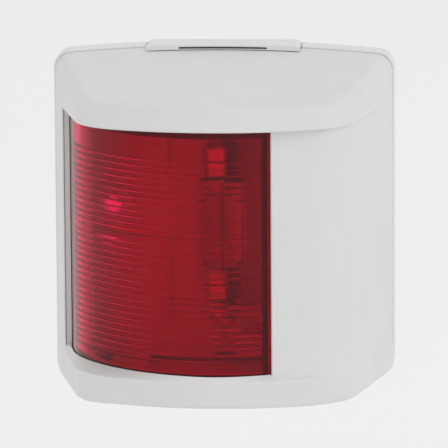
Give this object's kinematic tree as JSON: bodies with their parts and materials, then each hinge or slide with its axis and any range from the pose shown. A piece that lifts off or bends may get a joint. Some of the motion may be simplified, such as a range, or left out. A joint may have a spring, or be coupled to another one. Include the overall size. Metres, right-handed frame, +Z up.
{
  "type": "navigation light",
  "caption": "Bulkhead port side light for a small boat: arched white case, red 112.5 degree sector lens, festoon bulb, and a cover that swings down from a sprung catch.",
  "frame": {"origin": "centre of the case's width on the back face that is screwed to the boat, 38.8 mm above the underside", "axes": "+Y into the mounting surface, so the light looks along -Y; +X to the right seen from in front; +Z up"},
  "size_m": [0.08, 0.0525, 0.0783],
  "materials": {
    "white_plastic": "satin",
    "cover_plastic": "satin",
    "red_lens": "clear tinted, gloss",
    "black_rubber": "matt",
    "seal_rubber": "matt",
    "nickel_strip": "nickel plated",
    "nickel_cap": "nickel plated",
    "brass": "plain",
    "stainless": "plain",
    "clear_glass": "clear",
    "tungsten": "dull",
    "matt_black": "matt"
  },
  "bodies": {
    "base": {"base_plate": "white_plastic", "mounting_gasket": "black_rubber", "body_seal": "seal_rubber", "cable_grommet": "black_rubber", "upper_contact": "nickel_strip", "lower_contact": "nickel_strip", "contact_rivets": "brass", "terminal_inserts": "brass", "terminal_clamps": "stainless", "terminal_screws": "stainless"},
    "catch": {"catch_tab": "white_plastic"},
    "bulb": {"bulb_glass": "clear_glass", "bulb_upper_cap": "nickel_cap", "bulb_lower_cap": "nickel_cap", "bulb_filament": "tungsten", "filament_leads": "tungsten"},
    "cover": {"front_cover": "cover_plastic", "lens": "red_lens", "lens_seal": "seal_rubber", "light_screen": "matt_black", "screen_rivets": "matt_black"}
  },
  "joints": [
    {"name": "cover_hinge", "type": "hinge", "parent": "base", "child": "cover", "pos_m": [0, -0.0085, -0.0367], "axis": [1, 0, 0], "range_deg": [0, 80], "deforming": ["catch_tab"]},
    {"name": "catch_lift", "type": "hinge", "parent": "base", "child": "catch", "pos_m": [0, -0.00102, 0.0395], "axis": [-1, 0, 0], "range_deg": [0, 7]},
    {"name": "bulb_slide", "type": "slide", "parent": "base", "child": "bulb", "axis": [0, -1, 0], "range_m": [0, 0.012], "deforming": ["upper_contact", "lower_contact"]}
  ]
}
